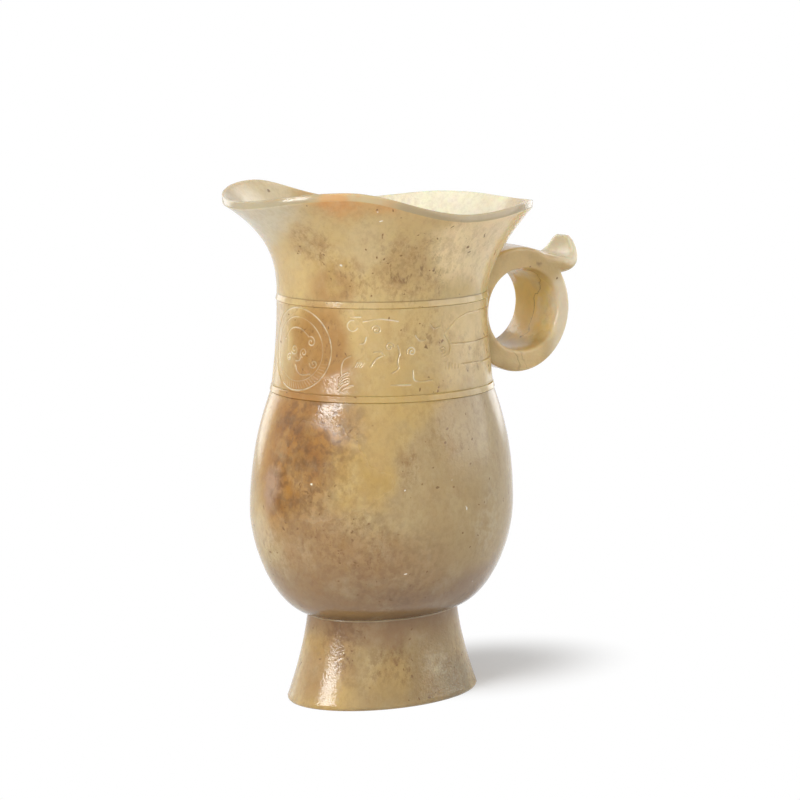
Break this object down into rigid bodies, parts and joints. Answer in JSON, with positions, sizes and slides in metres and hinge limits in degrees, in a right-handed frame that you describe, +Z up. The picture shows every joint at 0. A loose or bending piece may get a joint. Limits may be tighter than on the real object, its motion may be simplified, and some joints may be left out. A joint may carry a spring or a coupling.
{
  "type": "ewer",
  "caption": "Oval stone pouring vessel with a flared foot, pear-shaped belly, carved waist band, wavy-rimmed mouth with a lip, and a ring handle with a thumb rest.",
  "frame": {"origin": "centre of the flat underside of the foot", "axes": "+Z up along the vessel, +X towards the handle, the pouring lip towards -X"},
  "size_m": [0.0958, 0.0606, 0.1293],
  "materials": {
    "foot_stone": "polished jade, honey beige with brown flecks",
    "belly_stone": "polished jade, honey beige with a russet side",
    "waist_stone": "polished jade with shallow cut ornament",
    "neck_stone": "polished jade, pale celadon at the lip",
    "handle_stone": "polished jade, pale olive beige"
  },
  "bodies": {
    "root": {"foot": "foot_stone", "belly": "belly_stone", "lower_border": "waist_stone", "carved_band": "waist_stone", "upper_border": "waist_stone", "neck": "neck_stone", "handle_ring": "handle_stone", "thumb_rest": "handle_stone"}
  },
  "joints": []
}
